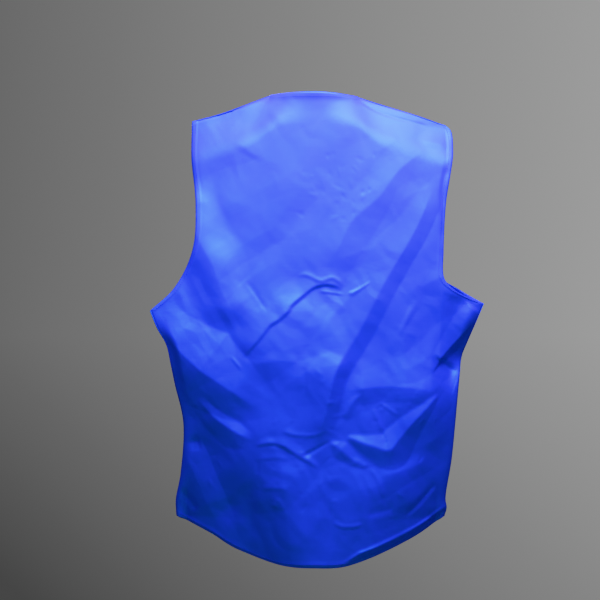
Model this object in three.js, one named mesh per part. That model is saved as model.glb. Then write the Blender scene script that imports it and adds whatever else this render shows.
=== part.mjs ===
// Sleeveless button vest in royal blue satin, in the shape it takes on a wearer.
// Millimetres, +Z up. The wearer faces -Y, so the back of the vest faces +Y and +X is the wearer's left.
// The origin is in the middle of the neck opening, level with the neck ends of the shoulder seams.

import * as THREE from "three";
import { LoftGeometry } from "three/addons/geometries/LoftGeometry.js";
import { mergeVertices } from "three/addons/utils/BufferGeometryUtils.js";

const { clamp, lerp, smoothstep } = THREE.MathUtils;

// Cloth and sewing sizes
const WALL = 1.6;
const SEAM_GAP = 0.5;
const WELD = 1e-3;
const NORMAL_STEP = 1.5;

// Counts of cells across each stretch of a panel
const SHOULDER_CELLS = 14;
const NECK_CELLS = 12;
const ARMHOLE_CELLS = 17;
const SIDE_CELLS = 18;
const LINE_STEPS = 160;

// A table of rows with named columns
const table = (names, ...lines) => {
  const columns = names.split(" ");
  return lines.map((line) => Object.fromEntries(columns.map((name, i) => [name, line[i]])));
};

// Shoulder seams, from the neck end out to the armhole
const SHOULDER = {
  left: table("x y z", [70, 31, -2], [104, 31, -15], [142, 29, -28], [180, 27, -38]),
  right: table("x y z", [-57, 31, -4], [-104, 31, -19], [-150, 29, -33], [-187, 27, -45]),
};

// Back neck edge, from the right shoulder to the left
const BACK_NECK = table(
  "x y z",
  [-57, 31, -4], [-46, 47, -3], [-24, 63, -1], [4, 71, 0], [34, 63, 0], [58, 47, -1], [70, 31, -2],
);

// Armhole edges, from the shoulder down to the underarm point
const BACK_ARMHOLE = {
  left: table(
    "x y z",
    [180, 27, -38], [180, 46, -90], [173, 60, -160], [177, 67, -222], [203, 71, -276], [238, 71, -309],
  ),
  right: table(
    "x y z",
    [-187, 27, -45], [-191, 48, -84], [-180, 62, -155], [-176, 68, -225],
    [-177, 70, -263], [-194, 66, -280], [-236, 48, -299],
  ),
};
const FRONT_ARMHOLE = {
  left: table(
    "x y z",
    [180, 27, -38], [156, -38, -100], [146, -64, -180], [166, -52, -246], [211, 26, -288], [238, 71, -309],
  ),
  right: table(
    "x y z",
    [-187, 27, -45], [-162, -38, -105], [-150, -64, -182], [-168, -54, -246],
    [-207, 10, -280], [-236, 48, -299],
  ),
};

// Side seams, from the underarm point down to the hem
const SIDE_SEAM = {
  left: table(
    "x y z",
    [238, 71, -309], [228, 75, -333], [215, 77, -356], [209, 72, -384], [204, 64, -412],
    [193, 48, -467], [198, 28, -540], [206, 15, -582], [205, 9, -603],
  ),
  right: table(
    "x y z",
    [-236, 48, -299], [-226, 49, -322], [-214, 41, -352], [-206, 37, -374], [-202, 44, -402],
    [-199, 48, -430], [-196, 42, -470], [-192, 31, -520], [-184, 18, -578], [-183, 11, -603],
  ),
};

// Hem lines as seen flat on; the cloth's depth comes from the sections
const BACK_HEM = table(
  "x z",
  [-183, -603], [-140, -629], [-92, -650], [-35, -668], [8, -669],
  [60, -666], [119, -647], [152, -628], [205, -603],
);
const FRONT_HEM = {
  left: table("x z", [-16, -655], [70, -642], [140, -616], [205, -603]),
  right: table("x z", [16, -655], [-66, -642], [-130, -616], [-183, -603]),
};

// Front neck edges down to the first button, and the step that lets the right front lie under the left
const FRONT_NECK = {
  left: table("x z", [70, -2], [58, -55], [30, -180], [-16, -300]),
  right: table("x z", [-57, -4], [-48, -55], [-26, -180], [16, -300]),
};
const LAP = { step: 2.3, from: 20, over: 28 };

// How far the cloth stands out at its middle, and how full it is towards its edges, by height
const BACK_SECTIONS = table(
  "z depth fullness",
  [0, 71, 0.6], [-70, 75, 0.6], [-160, 79.5, 0.66], [-240, 84, 0.7], [-305, 88, 0.7],
  [-360, 91, 0.6], [-430, 93, 0.5], [-540, 90, 0.5], [-668, 83, 0.56],
);
const FRONT_SECTIONS = table(
  "z depth fullness",
  [4, -40, 0.8], [-90, -72, 0.75], [-180, -104, 0.7], [-270, -120, 0.85], [-310, -119, 1.0],
  [-360, -114, 0.9], [-440, -106, 0.7], [-540, -104, 0.62], [-668, -110, 0.6],
);
const BACK_SLOPE = { height: 54, bend: 0.22 };
const FRONT_ROLL = { height: 120, power: 0.72 };
const NECK_RISE = 0.35;

// Main folds of the back: crest from start to end by way of a middle point, flank widths and height
const FOLDS = table(
  "name x0 z0 x1 z1 x2 z2 upper lower height",
  ["left blade drag", 182, -124, 140, -244, 98, -334, 30, 28, 6.4],
  ["right blade drag", -164, -128, -93, -268, -3, -475, 50, 22, 4.2],
  ["centre blade band", -157, -75, -86, -147, -9, -251, 34, 40, 3.4],
  ["upper waist crease", 110, -377, 26, -289, -37, -278, 40, 14, 4.6],
  ["left wing lower edge", 220, -337, 165, -399, 82, -449, 70, 42, 12],
  ["left waist sliver", 170, -432, 135, -470, 92, -484, 18, 20, 6],
  ["left hip valley", 185, -480, 142, -535, 100, -604, 30, 24, -6.5],
  ["left tail roll", 58, -440, 50, -560, 34, -720, 60, 74, 11],
  ["right waist wedge", -169, -426, -99, -504, -38, -484, 25, 18, 7],
  ["right waist step", -37, -421, -114, -415, -169, -425, 44, 15, 2.4],
  ["right wing lower edge", -232, -311, -194, -352, -169, -379, 36, 20, 9],
  ["right wing lower crease", -203, -396, -188, -390, -172, -378, 14, 34, -4],
  ["right hip ridge", -83, -541, -120, -533, -155, -514, 16, 20, 1.6],
);
const FOLD = { taper: 0.22, crest: 1.3, seamFade: 22, fadeFrom: 262, fadeTo: 298 };

// The tail hangs in towards the body below the hips, and the hem turns in along its last stretch
const TAIL_SWING = {
  left: { from: 530, slope: 0.16, near: 10, far: 100 },
  right: { from: 560, slope: 0.13, near: 70, far: 130 },
};
const HEM_TURN = { height: 10, depth: 5 };

// Buttons, and where they stand on the centre front
const BUTTON = { radius: 9, stem: 2.6, standoff: 1.4, rim: 4, sides: 18 };
const BUTTON_HEIGHTS = [-325, -400, -475, -550];

// Colours
const SATIN_BLUE = 0x1b3fd6;
const BUTTON_BLUE = 0x12257c;

// A smooth line through the rows of a table
function lineThrough(rows) {
  const points = rows.map((row) => new THREE.Vector3(row.x, row.y ?? 0, row.z));
  return new THREE.CatmullRomCurve3(points, false, "centripetal");
}

// Where a line passes a value of one of its coordinates
function crossing(points, axis, value) {
  const last = points.length - 1;
  const falls = points[last][axis] < points[0][axis];
  const passed = (p) => (falls ? p[axis] <= value : p[axis] >= value);
  if (passed(points[0])) return points[0];
  const i = points.findIndex(passed);
  if (i === -1) return points[last];
  const span = points[i][axis] - points[i - 1][axis];
  return new THREE.Vector3().lerpVectors(points[i - 1], points[i], (value - points[i - 1][axis]) / span);
}

// Smooth value of a table column at a height
function columnAt(rows, name, z) {
  const last = rows.length - 1;
  const i = rows.findIndex((row) => row.z <= z);
  if (i === -1) return rows[last][name];
  if (i === 0) return rows[0][name];
  const slope = (k) => {
    const above = rows[Math.max(k - 1, 0)];
    const below = rows[Math.min(k + 1, last)];
    return (below[name] - above[name]) / (below.z - above.z);
  };
  const span = rows[i].z - rows[i - 1].z;
  const t = (z - rows[i - 1].z) / span;
  const bend = t * t * (3 - 2 * t);
  const ends = lerp(rows[i - 1][name], rows[i][name], bend);
  return ends + span * (slope(i - 1) * t * (1 - t) ** 2 - slope(i) * t * t * (1 - t));
}

// Dense lines that the surfaces are measured against
const SIDES = ["left", "right"];
const dense = (rows) => lineThrough(rows).getPoints(LINE_STEPS);
const bySide = (make) => Object.fromEntries(SIDES.map((side) => [side, make(side)]));
const SHOULDER_LINE = bySide((side) => dense(SHOULDER[side]));
const SIDE_LINE = bySide((side) => dense(SIDE_SEAM[side]));
const BACK_EDGE = bySide((side) => [...dense(BACK_ARMHOLE[side]), ...SIDE_LINE[side]]);
const FRONT_EDGE = bySide((side) => [...dense(FRONT_ARMHOLE[side]), ...SIDE_LINE[side]]);
const BACK_TOP = [...[...SHOULDER_LINE.right].reverse(), ...dense(BACK_NECK), ...SHOULDER_LINE.left];
const BACK_HEM_LINE = dense(BACK_HEM);

// Depth of a plain section: from the edge line out to the middle
function sectionDepth(sections, edge, x, z) {
  const reach = Math.min(Math.abs(x / edge.x), 1);
  const swell = Math.cos((reach * Math.PI) / 2) ** columnAt(sections, "fullness", z);
  return lerp(edge.y, columnAt(sections, "depth", z), swell);
}

// Slope from the shoulder seam down to the back, from 0 to 1, with a short bend at its foot
function shoulderSlope(drop, { height, bend }) {
  const t = clamp(drop / height, 0, 1 + bend);
  return t < 1 - bend ? t : 1 - (1 + bend - t) ** 2 / (4 * bend);
}

// Rounding over the front of the shoulder, from 0 at its ridge to 1 below it
function shoulderRoll(drop, { height, power }) {
  const t = clamp(drop / height, 0, 1);
  return (1 - (1 - t) ** 2) ** power;
}

// Height of one fold at a place on the back
function foldHeight(fold, x, z) {
  const path = [[fold.x0, fold.z0], [fold.x1, fold.z1], [fold.x2, fold.z2]];
  let nearest = Infinity;
  let along = 0;
  let across = 0;
  for (let i = 0; i < 2; i++) {
    const [ax, az] = path[i];
    const dx = path[i + 1][0] - ax;
    const dz = path[i + 1][1] - az;
    const t = clamp(((x - ax) * dx + (z - az) * dz) / (dx * dx + dz * dz), 0, 1);
    const ox = x - ax - t * dx;
    const oz = z - az - t * dz;
    const away = Math.hypot(ox, oz);
    if (away >= nearest) continue;
    nearest = away;
    along = (i + t) / 2;
    across = dx > 0 ? ox * -dz + oz * dx : ox * dz - oz * dx;
  }
  const width = across > 0 ? fold.upper : fold.lower;
  const ends = smoothstep(Math.min(along, 1 - along), 0, FOLD.taper);
  return fold.height * ends * clamp(1 - nearest / width, 0, 1) ** FOLD.crest;
}

// How far the tail hangs in at a place
function tailSwing(x, z) {
  const { from, slope, near, far } = TAIL_SWING[x > 0 ? "left" : "right"];
  return slope * Math.max(-z - from, 0) * smoothstep(Math.abs(x), near, far);
}

// Depth of the back at a place
function backDepth(x, z) {
  const edge = crossing(BACK_EDGE[x > 0 ? "left" : "right"], "z", z);
  const top = crossing(BACK_TOP, "x", x);
  const plain = lerp(top.y, sectionDepth(BACK_SECTIONS, edge, x, z), shoulderSlope(top.z - z, BACK_SLOPE));
  const nearSeam = 1 - smoothstep(Math.abs(edge.x) - Math.abs(x), 0, FOLD.seamFade);
  const fade = 1 - nearSeam * smoothstep(-z, FOLD.fadeFrom, FOLD.fadeTo);
  const folds = FOLDS.reduce((sum, fold) => sum + foldHeight(fold, x, z), 0);
  const turn = clamp(1 - (z - crossing(BACK_HEM_LINE, "x", x).z) / HEM_TURN.height, 0, 1) ** 2;
  return plain + fade * (folds - tailSwing(x, z) - HEM_TURN.depth * turn);
}

// Depth of a front at a place; the right front steps in where the left one laps over it
function frontDepth(side, x, z) {
  const edge = crossing(FRONT_EDGE[x > 0 ? "left" : "right"], "z", z);
  const neck = SHOULDER[side][0];
  const outer = side === "left" ? Math.max(x, neck.x) : Math.min(x, neck.x);
  const top = crossing(SHOULDER_LINE[side], "x", outer);
  const drop = top.z + NECK_RISE * Math.abs(outer - x) - z;
  const plain = lerp(top.y, sectionDepth(FRONT_SECTIONS, edge, x, z), shoulderRoll(drop, FRONT_ROLL));
  if (side === "left") return plain;
  return plain + LAP.step * smoothstep(x, -LAP.from - LAP.over, -LAP.from);
}

// Places of a panel's grid as seen flat on, filled in from its four edges
function flatGrid(first, last, top, bottom) {
  const rows = first.length - 1;
  const columns = top.length - 1;
  const blend = (axis, i, j) => {
    const v = i / rows;
    const s = j / columns;
    const across = lerp(first[i][axis], last[i][axis], s);
    const down = lerp(top[j][axis], bottom[j][axis], v);
    const upper = lerp(top[0][axis], top[columns][axis], s);
    const lower = lerp(bottom[0][axis], bottom[columns][axis], s);
    return across + down - lerp(upper, lower, v);
  };
  return first.map((_, i) => top.map((_, j) => ({ x: blend("x", i, j), z: blend("z", i, j) })));
}

// A closed cloth wall over a grid of places; isSewn tells which places lie on a seam
function clothWall(grid, depth, facing, isSewn) {
  const rings = grid.map((row, i) => {
    const outer = [];
    const inner = [];
    row.forEach(({ x, z }, j) => {
      const sewn = isSewn(i, j);
      const e = NORMAL_STEP;
      const slopeX = (depth(x + e, z) - depth(x - e, z)) / (2 * e);
      const slopeZ = (depth(x, z + e) - depth(x, z - e)) / (2 * e);
      const normal = new THREE.Vector3(-slopeX, 1, -slopeZ).multiplyScalar(facing).normalize();
      const point = new THREE.Vector3(x, depth(x, z) + (sewn ? (facing * SEAM_GAP) / 2 : 0), z);
      const inward = normal.clone().multiplyScalar(-WALL);
      if (sewn) {
        inward.y = 0;
        inward.setLength((WALL * WALL) / Math.max(inward.length(), WALL / 2));
      }
      outer.push(point);
      inner.push(point.clone().add(inward));
    });
    return [...outer, ...inner.reverse()];
  });
  const closed = (ring) => ring.map((point, k) => point.clone().lerp(ring[ring.length - 1 - k], 0.5));
  const sections = [closed(rings[0]), ...rings, closed(rings[rings.length - 1])];
  if (facing < 0) sections.reverse();
  return welded(new LoftGeometry(sections));
}

// One skin with shared corners and no collapsed triangles
function welded(geometry) {
  const bare = new THREE.BufferGeometry().copy(geometry);
  bare.deleteAttribute("normal");
  bare.deleteAttribute("uv");
  const skin = mergeVertices(bare, WELD);
  const corners = [...skin.index.array];
  const kept = [];
  for (let i = 0; i < corners.length; i += 3) {
    const [a, b, c] = corners.slice(i, i + 3);
    if (a !== b && b !== c && c !== a) kept.push(a, b, c);
  }
  skin.setIndex(kept);
  skin.computeVertexNormals();
  return skin;
}

// Even steps along a line, and steps drawn in towards its ends
const steps = (rows, count) => lineThrough(rows).getSpacedPoints(count);
const drawnIn = (rows, count) => {
  const line = lineThrough(rows);
  const easing = 0.5;
  return Array.from({ length: count + 1 }, (_, k) => {
    const t = k / count;
    return line.getPointAt(t - (easing * Math.sin(2 * Math.PI * t)) / (2 * Math.PI));
  });
};

// Two lines end to end, and the outer edge of a panel
const joined = (first, second) => [...first, ...second.slice(1)];
const outerEdge = (armhole, side) =>
  joined(steps(armhole[side], ARMHOLE_CELLS), steps(SIDE_SEAM[side], SIDE_CELLS));

function backPanel() {
  const shoulder = bySide((side) => steps(SHOULDER[side], SHOULDER_CELLS));
  const top = joined(joined([...shoulder.right].reverse(), steps(BACK_NECK, NECK_CELLS)), shoulder.left);
  const columns = top.length - 1;
  const grid = flatGrid(
    outerEdge(BACK_ARMHOLE, "right"), outerEdge(BACK_ARMHOLE, "left"), top, drawnIn(BACK_HEM, columns),
  );
  const isSewn = (i, j) => {
    const onSide = i >= ARMHOLE_CELLS && (j === 0 || j === columns);
    const onShoulder = i === 0 && (j <= SHOULDER_CELLS || j >= columns - SHOULDER_CELLS);
    return onSide || onShoulder;
  };
  return clothWall(grid, backDepth, 1, isSewn);
}

function frontPanel(side) {
  const placket = [FRONT_NECK[side].at(-1), FRONT_HEM[side][0]];
  const inner = joined(steps(FRONT_NECK[side], ARMHOLE_CELLS), steps(placket, SIDE_CELLS));
  const outer = outerEdge(FRONT_ARMHOLE, side);
  const top = steps(SHOULDER[side], SHOULDER_CELLS);
  const grid = flatGrid(inner, outer, top, steps(FRONT_HEM[side], SHOULDER_CELLS));
  if (side === "right") grid.forEach((row) => row.reverse());
  const seamColumn = side === "left" ? SHOULDER_CELLS : 0;
  const isSewn = (i, j) => i === 0 || (i >= ARMHOLE_CELLS && j === seamColumn);
  return clothWall(grid, (x, z) => frontDepth(side, x, z), -1, isSewn);
}

// A domed shank button, turned about its own axis and set square on the left front
function buttonAt(z) {
  const { radius, stem, standoff, rim, sides } = BUTTON;
  const profile = [
    [0, 0], [stem, 0], [stem, standoff], [radius * 0.85, standoff], [radius, standoff * 1.6],
    [radius, rim * 0.75], [radius * 0.9, rim * 0.95], [radius * 0.72, rim],
    [radius * 0.62, rim * 0.88], [0, rim],
  ].map(([r, h]) => new THREE.Vector2(r, h));
  const e = NORMAL_STEP;
  const depth = (x, at) => frontDepth("left", x, at);
  const outward = new THREE.Vector3(
    (depth(e, z) - depth(-e, z)) / (2 * e), -1, (depth(0, z + e) - depth(0, z - e)) / (2 * e),
  ).normalize();
  const turned = new THREE.LatheGeometry(profile, sides);
  turned.applyQuaternion(new THREE.Quaternion().setFromUnitVectors(new THREE.Vector3(0, 1, 0), outward));
  const foot = new THREE.Vector3(0, depth(0, z), z).addScaledVector(outward, SEAM_GAP);
  turned.translate(foot.x, foot.y, foot.z);
  return welded(turned);
}

// Named pieces
const vest = new THREE.Group();
vest.name = "vest";

function addPiece(name, geometry, color, roughness) {
  const material = new THREE.MeshStandardMaterial({ color, roughness, metalness: 0 });
  const mesh = new THREE.Mesh(geometry, material);
  mesh.name = name;
  vest.add(mesh);
}

addPiece("back_panel", backPanel(), SATIN_BLUE, 0.45);
addPiece("left_front_panel", frontPanel("left"), SATIN_BLUE, 0.45);
addPiece("right_front_panel", frontPanel("right"), SATIN_BLUE, 0.45);
BUTTON_HEIGHTS.forEach((z, i) => addPiece(`button_${i + 1}`, buttonAt(z), BUTTON_BLUE, 0.35));

export default vest;
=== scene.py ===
# Sleeveless satin vest: cloth panels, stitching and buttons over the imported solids.
# Tables are in millimetres: x towards the wearer's left, y out of the back, z up. Meshes are in metres.
import math
from collections import namedtuple

import bpy
import numpy as np
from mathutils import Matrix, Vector


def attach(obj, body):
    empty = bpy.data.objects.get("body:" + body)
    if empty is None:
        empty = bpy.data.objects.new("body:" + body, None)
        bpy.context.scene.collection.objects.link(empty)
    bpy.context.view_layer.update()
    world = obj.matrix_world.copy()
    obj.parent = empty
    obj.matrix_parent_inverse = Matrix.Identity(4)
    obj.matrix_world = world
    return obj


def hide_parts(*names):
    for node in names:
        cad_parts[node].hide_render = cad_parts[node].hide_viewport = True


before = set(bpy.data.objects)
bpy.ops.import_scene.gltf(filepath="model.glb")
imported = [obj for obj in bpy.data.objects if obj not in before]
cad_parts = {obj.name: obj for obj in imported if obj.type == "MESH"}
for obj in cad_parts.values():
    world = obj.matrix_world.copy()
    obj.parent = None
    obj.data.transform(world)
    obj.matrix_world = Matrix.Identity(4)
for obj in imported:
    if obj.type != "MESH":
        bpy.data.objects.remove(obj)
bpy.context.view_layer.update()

norm = np.linalg.norm
scene = bpy.context.scene

MM = 0.001
X, Y, Z = 0, 1, 2
BODY = "root"
OUT_BACK, OUT_FRONT = 1, -1

# A distance past any edge, and the least length that a direction is worked out from
FAR = 1e3
TINY = 1e-9

# Cells of the cloth grids
SHOULDER_CELLS = 84
NECK_CELLS = 80
FRONT_CELLS = 92
ARMHOLE_CELLS = 140
SIDE_CELLS = 156

# Steps of each span of a line or fold, and of a softened line with its reach in widths
SPAN_STEPS = 40
FOLD_STEPS = 6
SOFT_STEPS = 600
SOFT_REACH = 3

# How much the cells narrow at the ends of the hem, and the step that a slope is measured over
DRAWN_IN = 0.5
SLOPE_STEP = 1.5

# Shoulder seams, from the neck end out to the armhole
SHOULDER = {
    "left": [(70, 47, -2), (104, 47, -15), (142, 44, -28), (180, 38, -38)],
    "right": [(-57, 47, -4), (-104, 47, -19), (-150, 44, -33), (-182, 38, -44)],
}

# Back neck edge, from the right shoulder to the left
BACK_NECK = [(-57, 47, -4), (-46, 55, -3), (-24, 67, -1), (4, 73, 0), (34, 67, 0), (58, 55, -1), (70, 47, -2)]

# Armhole edges, from the shoulder down to the underarm point
BACK_ARMHOLE = {
    "left": [
        (180, 38, -38), (180, 52, -90), (173, 61, -160),
        (177, 67, -222), (203, 71, -276), (238, 71, -309),
    ],
    "right": [
        (-182, 38, -44), (-189, 41, -52), (-191, 55, -84), (-186, 60, -118), (-180, 62, -155),
        (-176, 68, -225), (-177, 70, -263), (-194, 66, -280), (-236, 48, -299),
    ],
}
FRONT_ARMHOLE = {
    "left": [
        (180, 38, -38), (156, -38, -100), (146, -64, -180),
        (166, -52, -246), (211, 26, -288), (238, 71, -309),
    ],
    "right": [
        (-182, 38, -44), (-162, -38, -105), (-150, -64, -182),
        (-168, -54, -246), (-207, 10, -280), (-236, 48, -299),
    ],
}

# Side seams, from the underarm point down to the hem
SIDE_SEAM = {
    "left": [
        (238, 71, -309), (228, 73, -333), (215, 74, -356), (209, 70, -384), (204, 62, -412),
        (193, 49, -467), (198, 30, -540), (206, 15, -582), (205, 9, -603),
    ],
    "right": [
        (-236, 48, -299), (-226, 50, -322), (-214, 40, -352), (-206, 35, -374), (-202, 46, -402),
        (-199, 50, -430), (-196, 44, -470), (-192, 33, -520), (-184, 20, -578), (-186, 15, -592),
        (-183, 11, -603),
    ],
}

# Hem lines and front neck edges as seen flat on; their depth comes from the sections
BACK_HEM = [
    (-183, 0, -603), (-140, 0, -629), (-92, 0, -650), (-35, 0, -668), (8, 0, -669),
    (60, 0, -666), (119, 0, -647), (152, 0, -628), (205, 0, -603),
]
FRONT_HEM = {
    "left": [(-16, 0, -655), (70, 0, -642), (140, 0, -616), (205, 0, -603)],
    "right": [(16, 0, -655), (-66, 0, -642), (-130, 0, -616), (-183, 0, -603)],
}
FRONT_NECK = {
    "left": [(70, 0, -2), (58, 0, -55), (30, 0, -180), (-16, 0, -300)],
    "right": [(-57, 0, -4), (-48, 0, -55), (-26, 0, -180), (16, 0, -300)],
}

# The right front lies further in where the left one laps over it
LAP_STEP = 2.3
LAP_FROM = 20
LAP_OVER = 28

# How far the cloth stands out at its middle, and how full it is towards its edges, by height
Section = namedtuple("Section", "z depth fullness")
BACK_SECTIONS = [Section(*row) for row in (
    (0, 72, 0.6), (-70, 75, 0.6), (-160, 79.5, 0.66), (-240, 84, 0.7), (-305, 88, 0.74),
    (-360, 91, 0.74), (-430, 93, 0.7), (-540, 90, 0.66), (-668, 83, 0.62),
)]
FRONT_SECTIONS = [Section(*row) for row in (
    (4, -40, 0.8), (-90, -72, 0.75), (-180, -104, 0.7), (-270, -120, 0.85), (-310, -119, 1.0),
    (-360, -114, 0.9), (-440, -106, 0.7), (-540, -104, 0.62), (-668, -110, 0.6),
)]

# Rounding of the shoulders, and how far the corners of the edges carry on into the cloth
BACK_ROLL = (38, 54)
BACK_ROLL_GROWS = (45, 100)
ROLL_BEND = 0.22
FRONT_ROLL = (120, 0.72)
NECK_RISE = 0.35
EDGE_SOFT = 30
EDGE_EXACT = (0.72, 1.0)
TOP_SOFT = 13
TOP_EXACT = 14

# Folds: a crest line, the widths of its two flanks, its height, how flat its facets are, how much of
# its size is left at its ends, how long it takes to rise, how much its upper flank swells and where along
# its line it is largest
Fold = namedtuple(
    "Fold", "name path upper lower height sharp narrow taper swell peak", defaults=(1.0, 0.2, 1.4, 0.0)
)
LEAST_PEAK = 0.01
BACK_FOLDS = [Fold(*row) for row in (
    # Shoulders and nape
    ("left shoulder facet", [(122, -64), (104, -78), (85, -91), (72, -94)], 34, 12, 1.2, 0.5, 0.4, 0.4),
    ("right shoulder end", [(-140, -64), (-166, -71), (-194, -77)], 24, 10, 1.6, 0.6, 1.0, 0.4),
    ("right shoulder seam", [(-56, -9), (-88, -26), (-111, -34), (-149, -44), (-165, -50)],
     3, 4, -0.9, 1.0, 0.8, 0.2),
    # Drags from the shoulder blades
    ("centre blade band", [(-157, -75), (-112, -112), (-86, -147), (-46, -184), (-30, -216), (-9, -251)],
     34, 40, 3.4, 0.8),
    ("right blade drag",
     [(-164, -128), (-155, -152), (-136, -195), (-93, -268), (-58, -335), (-23, -394), (-15, -426),
      (-3, -475), (2, -503)],
     46, 19, 4.2, 1.0, 1.15, 0.14, 1.0),
    ("foot of right blade drag", [(-44, -358), (-22, -400), (-12, -440), (-3, -475), (2, -503)],
     36, 18, 4.6, 1.0, 1.0, 0.3, 1.0),
    ("beside right blade drag", [(-142, -288), (-126, -316), (-110, -348)], 9, 9, 1.1, 0.4, 0.5, 0.4),
    ("right armhole strip", [(-186, -92), (-177, -130), (-176, -175), (-174, -220)], 7, 6, -2.0, 0.7),
    ("left blade drag",
     [(188, -120), (181, -172), (167, -212), (149, -244), (138, -276), (126, -303), (112, -336)],
     52, 48, 9.4, 0.25, 0.8, 0.18, 1.4, 0.5),
    ("left blade crease", [(103, -265), (86, -289), (71, -311)], 7, 3, -0.6, 1.0),
    # Waist, left
    ("upper waist fullness", [(104, -402), (54, -340), (4, -278)],
     84, 190, 7, 0.0, 0.6, 0.3, 1.0, 0.4),
    ("upper waist crease",
     [(107, -376), (90, -355), (79, -342), (68, -328), (57, -321), (43, -308), (39, -301), (23, -287),
      (7, -275), (-8, -271), (-19, -272), (-37, -278)],
     30, 4, 2.6, 1.0, 0.7, 0.12, 1.2, 0.6),
    ("upper waist spur", [(-40, -286), (-54, -279), (-75, -266)], 4, 6, 1.5, 1.0, 0.3),
    ("upper waist tuck", [(33, -258), (16, -258), (-3, -266), (-20, -262), (-37, -275)], 5, 4, 0.9, 1.0),
    ("upper waist leaf", [(1, -280), (-19, -283), (-38, -286)], 5, 3, 1.0, 1.0, 0.6, 0.3),
    ("lower waist fullness", [(116, -452), (62, -452), (8, -452)], 88, 76, 4.2, 0.0, 1.0, 0.35),
    ("small ridge", [(125, -370), (116, -380), (106, -393)], 5, 4, 1.2, 1.0, 0.5, 0.4),
    ("left wing lower edge",
     [(238, -318), (222, -336), (205, -354), (186, -374), (167, -391), (145, -406), (118, -424),
      (82, -449)],
     66, 56, 11.4, 1.0, 0.5, 0.24, 1.0, 0.5),
    ("left waist sliver", [(172, -430), (150, -455), (128, -472), (111, -482), (90, -491)],
     16, 26, 5, 1.0, 0.5, 0.2, 1.0, 0.7),
    ("left hip valley",
     [(180, -464), (167, -489), (156, -511), (145, -539), (133, -567), (121, -596), (114, -618)],
     48, 32, -7, 0.7, 0.9, 0.26),
    ("left hip tuck", [(195, -497), (180, -495), (166, -493)], 12, 14, -2.4, 0.9),
    ("left hip streak", [(202, -561), (184, -580), (174, -596)], 9, 9, -2, 0.6),
    ("left tail roll", [(58, -440), (50, -560), (40, -640), (34, -720)], 60, 74, 11, 0.3, 1.0, 0.45),
    ("left tail valley", [(98, -545), (96, -588), (95, -640)], 14, 18, -1.6, 0.5),
    # Waist, middle
    ("centre fold", [(91, -498), (68, -493), (51, -496), (39, -503), (26, -512), (12, -520), (-2, -531)],
     14, 4, 2.2, 1.0, 0.4, 0.12, 1.2, 0.5),
    ("centre crease", [(23, -512), (5, -502), (-17, -489)], 5, 7, -2.0, 1.0, 0.4),
    ("centre wrinkle", [(54, -475), (32, -482), (6, -482), (-16, -472)], 9, 3, 1.2, 1.0, 0.4),
    ("centre sliver", [(-16, -491), (-30, -502), (-47, -516), (-69, -527)],
     14, 14, 3.6, 1.0, 0.3, 0.08, 1.0, 0.3),
    # Waist, right
    ("right waist wedge",
     [(-169, -426), (-151, -446), (-129, -469), (-112, -490), (-102, -502), (-96, -504), (-79, -499),
      (-58, -492), (-38, -484)],
     28, 30, 8.4, 1.0, 0.12, 0.04, 1.0, 0.6),
    ("right waist step", [(-37, -421), (-72, -416), (-114, -415), (-151, -420), (-169, -425)],
     44, 22, 3.2, 1.0),
    ("right side fullness", [(-90, -436), (-140, -436), (-190, -438)], 150, 80, 8.5, 0.0, 1.0, 0.35),
    ("right waist fan", [(-83, -435), (-113, -456)], 4, 3, 0.8, 1.0),
    ("right waist fan", [(-76, -444), (-91, -479)], 4, 5, 1.0, 1.0),
    ("right waist fan", [(-35, -460), (-46, -438), (-60, -424)], 8, 8, 1.2, 0.9),
    ("right wing lower edge", [(-232, -311), (-212, -333), (-194, -352), (-180, -367), (-169, -379)],
     36, 20, 9, 1.0, 0.35, 0.06),
    ("right wing lower crease", [(-203, -396), (-188, -390), (-172, -378)], 12, 36, -6, 1.0, 0.6, 0.1),
    ("right side line", [(-174, -270), (-173, -310), (-172, -350), (-170, -395)], 26, 24, 2.2, 1.0),
    # Tail
    ("right tail fullness", [(-20, -562), (-65, -568), (-110, -566), (-150, -552)],
     56, 90, 6.4, 0.2, 1.0, 0.3),
    ("right hip ridge", [(-83, -541), (-115, -534), (-135, -528), (-155, -514)], 14, 20, 1.4, 0.7),
    ("right tail hollow", [(-66, -594), (-86, -591), (-109, -587)], 16, 10, -1.6, 0.5),
    ("right tail streak", [(-120, -601), (-144, -580), (-168, -552)], 9, 6, -1.8, 0.9),
    ("right hip crumple", [(-70, -527), (-83, -545), (-91, -572)], 5, 4, 1.0, 1.0),
    ("tail tuck", [(-19, -603), (-30, -610), (-45, -611), (-64, -608)], 6, 3, 1.2, 1.0),
    ("tail chevron", [(63, -586), (57, -573), (49, -588)], 5, 5, 0.9, 0.9),
    # Lines it was folded along when stored
    ("pressed upright line", [(19, -384), (19, -423)], 4, 8, -0.6, 1.0),
    ("pressed upright line", [(85, -516), (85, -538)], 4, 6, -0.6, 1.0),
    ("pressed upright line", [(1, -531), (1, -596)], 4, 5, -0.5, 1.0),
    ("pressed upright line", [(-15, -568), (-15, -603)], 3, 4, -0.7, 1.0),
    ("pressed level line", [(82, -558), (63, -556), (42, -558)], 8, 4, 0.7, 1.0),
    ("pressed level line", [(85, -516), (61, -513), (39, -516)], 8, 4, 0.6, 1.0),
    ("pressed level line", [(107, -378), (85, -381), (54, -378), (20, -381)], 12, 26, 0.9, 1.0),
)]
FRONT_FOLDS = {"left": [], "right": []}
FRONT_SHARP = 0.2
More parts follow.
